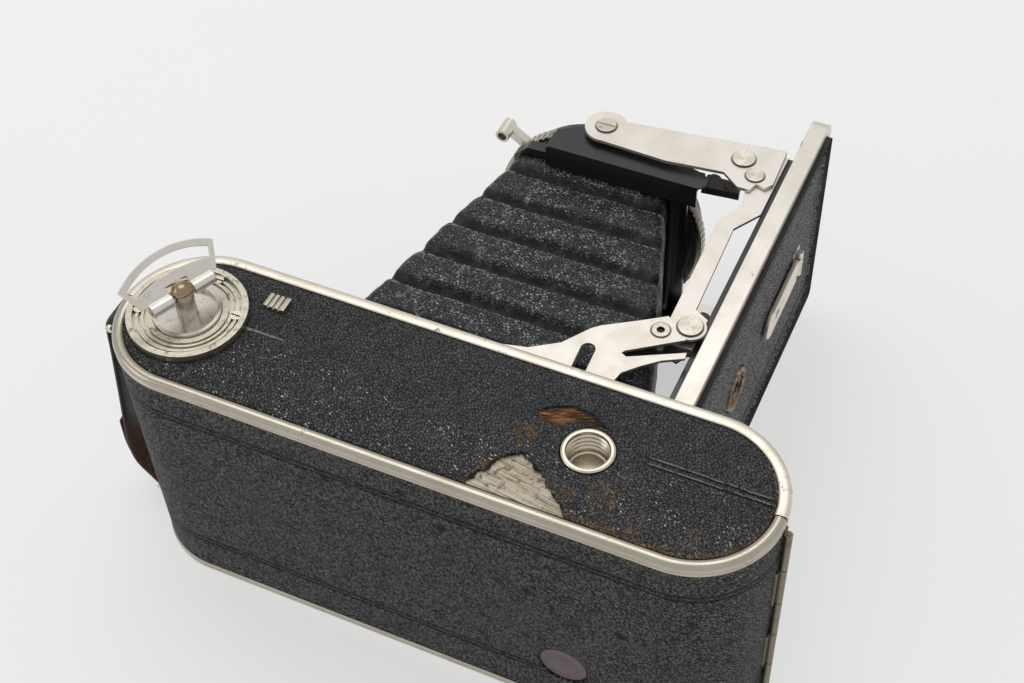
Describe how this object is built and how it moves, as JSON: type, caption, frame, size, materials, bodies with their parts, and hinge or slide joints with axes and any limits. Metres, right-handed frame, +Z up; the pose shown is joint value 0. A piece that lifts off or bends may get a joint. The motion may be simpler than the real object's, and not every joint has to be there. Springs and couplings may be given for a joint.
{
  "type": "folding camera",
  "caption": "Self-erecting folding roll-film camera, open on its long side: oval-ended casing, hinged door, strutted lens standard with shutter, tapered bellows, winding key, carrying strap.",
  "frame": {"origin": "centre of the long narrow face that the camera rests on", "axes": "+Z up out of the tripod bush, -Y the way the lens looks, +X towards the winding-key end"},
  "size_m": [0.173, 0.1449, 0.0903],
  "materials": {
    "black_shell": "satin black enamel",
    "black_enamel": "gloss black enamel, worn at edges",
    "nickel": "aged satin nickel plate",
    "nickel_bright": "polished nickel plate",
    "steel": "plain steel",
    "brass": "dull worn brass",
    "leather": "black grained covering leather",
    "strap_leather": "black strap leather, brown where worn",
    "bellows_leather": "fine-grained pleated black leather",
    "red_window": "dark red celluloid",
    "lens_glass": "clear ground glass",
    "spool_metal": "black tinplate"
  },
  "bodies": {
    "body": {"body_casing": "black_shell", "front_trim": "nickel", "top_leather": "leather", "casing_leather": "leather", "film_gate": "black_shell", "spool_and_roller_pins": "steel", "tripod_bush": "nickel", "winding_plate": "nickel", "winding_plate_screws": "steel", "strap": "strap_leather", "strap_lugs": "nickel", "strap_stud": "steel", "back_hinge_casing_leaf": "nickel", "body_hinge_knuckle": "nickel", "brace_guide_studs": "steel", "bellows": "bellows_leather"},
    "key": {"winding_shaft": "nickel_bright", "key_pin": "steel"},
    "handle": {"key_handle": "nickel"},
    "takeup": {"takeup_spool": "spool_metal"},
    "supply": {"supply_spool": "spool_metal"},
    "key_roller": {"key_end_roller": "steel"},
    "hinge_roller": {"hinge_end_roller": "steel"},
    "release": {"release_slide": "nickel"},
    "back": {"back_cover": "black_shell", "back_bead": "nickel", "back_leather": "leather", "red_window": "red_window", "pressure_plate": "black_shell", "pressure_spring": "steel", "back_hinge_cover_leaf": "nickel"},
    "door": {"door_panel": "black_enamel", "door_leather": "leather", "door_tray": "black_enamel", "door_hinge_knuckles": "nickel", "door_bush": "brass", "door_struts": "nickel", "strut_rivets": "nickel_bright", "foot_bracket": "nickel"},
    "foot": {"stand_foot": "nickel"},
    "arms": {"lens_arms": "nickel", "arm_stop_rivets": "nickel_bright"},
    "brace": {"braces": "nickel", "brace_eyelets": "nickel_bright"},
    "standard": {"standard_frame": "black_enamel", "lens_board": "black_enamel", "arm_pivot_screws": "nickel_bright", "steady_links": "black_enamel", "shutter_case": "black_enamel", "lens_mount": "nickel_bright", "rear_cell": "nickel_bright", "rear_lens": "lens_glass", "shutter_leaves": "steel", "cable_socket": "nickel_bright"},
    "shutter_ring": {"shutter_ring": "nickel_bright"},
    "speed_dial": {"speed_dial": "nickel_bright"},
    "focus": {"front_cell": "nickel_bright", "front_lens": "lens_glass"},
    "release_lever": {"release_lever": "nickel_bright"},
    "aperture": {"aperture_pointer": "black_enamel"}
  },
  "joints": [
    {"name": "door_hinge", "type": "hinge", "parent": "body", "child": "door", "pos_m": [-0.049, -0.0184, 0.03765], "axis": [0, 0, 1], "range_deg": [0, 90], "deforming": ["bellows"]},
    {"name": "arm_fold", "type": "hinge", "parent": "door", "child": "arms", "pos_m": [-0.0349, -0.1027, 0.03765], "axis": [0, 0, 1], "range_deg": [0, 85.5]},
    {"name": "standard_fold", "type": "hinge", "parent": "arms", "child": "standard", "pos_m": [0.0014, -0.1011, 0.03765], "axis": [0, 0, 1], "range_deg": [-175.5, 0]},
    {"name": "brace_fold", "type": "hinge", "parent": "door", "child": "brace", "pos_m": [-0.0425, -0.0443, 0.03765], "axis": [0, 0, 1], "range_deg": [-121.5, 0]},
    {"name": "back_hinge", "type": "hinge", "parent": "body", "child": "back", "pos_m": [-0.0807, 0, 0.03765], "axis": [0, 0, 1], "range_deg": [0, 110]},
    {"name": "key_spin", "type": "hinge", "parent": "body", "child": "key", "pos_m": [0.0628, 0, 0.075], "axis": [0, 0, 1], "continuous": true},
    {"name": "takeup_spin", "type": "hinge", "parent": "body", "child": "takeup", "pos_m": [0.0628, 0, 0.03765], "axis": [0, 0, 1], "continuous": true},
    {"name": "supply_spin", "type": "hinge", "parent": "body", "child": "supply", "pos_m": [-0.0628, 0, 0.03765], "axis": [0, 0, 1], "continuous": true},
    {"name": "key_fold", "type": "hinge", "parent": "key", "child": "handle", "pos_m": [0.0628, 0, 0.0824], "axis": [0.4226, 0.9063, 0], "range_deg": [-138, 42]},
    {"name": "key_roller_spin", "type": "hinge", "parent": "body", "child": "key_roller", "pos_m": [0.0517, 0.0102, 0.03765], "axis": [0, 0, 1], "continuous": true},
    {"name": "hinge_roller_spin", "type": "hinge", "parent": "body", "child": "hinge_roller", "pos_m": [-0.0517, 0.0102, 0.03765], "axis": [0, 0, 1], "continuous": true},
    {"name": "release_push", "type": "slide", "parent": "body", "child": "release", "axis": [-1, 0, 0], "range_m": [0, 0.0022], "stiffness_N_per_m": 300},
    {"name": "stand_foot_swing", "type": "hinge", "parent": "door", "child": "foot", "pos_m": [-0.05195, -0.104, 0.03765], "axis": [0, 0, 1], "range_deg": [0, 90]},
    {"name": "shutter_ring_turn", "type": "hinge", "parent": "standard", "child": "shutter_ring", "pos_m": [0.002, -0.1, 0.03765], "axis": [0, 1, 0], "range_deg": [-60, 60]},
    {"name": "speed_dial_turn", "type": "hinge", "parent": "standard", "child": "speed_dial", "pos_m": [0.002, -0.1077, 0.03765], "axis": [0, 1, 0], "range_deg": [-40, 40]},
    {"name": "focus_turn", "type": "hinge", "parent": "standard", "child": "focus", "pos_m": [0.002, -0.112, 0.03765], "axis": [0, 1, 0], "range_deg": [-120, 120]},
    {"name": "release_press", "type": "hinge", "parent": "standard", "child": "release_lever", "pos_m": [-0.01271, -0.1097, 0.05648], "axis": [0, 1, 0], "range_deg": [0, 12], "stiffness_Nm_per_rad": 0.02},
    {"name": "aperture_set", "type": "hinge", "parent": "standard", "child": "aperture", "pos_m": [0.002, -0.098, 0.03765], "axis": [0, 1, 0], "range_deg": [0, 30]}
  ],
  "couplings": [
    {"joint": "arm_fold", "follows": "door_hinge", "ratio": 0.95},
    {"joint": "standard_fold", "follows": "door_hinge", "ratio": -1.95},
    {"joint": "brace_fold", "follows": "door_hinge", "ratio": -1.35},
    {"joint": "takeup_spin", "follows": "key_spin", "ratio": 1}
  ]
}
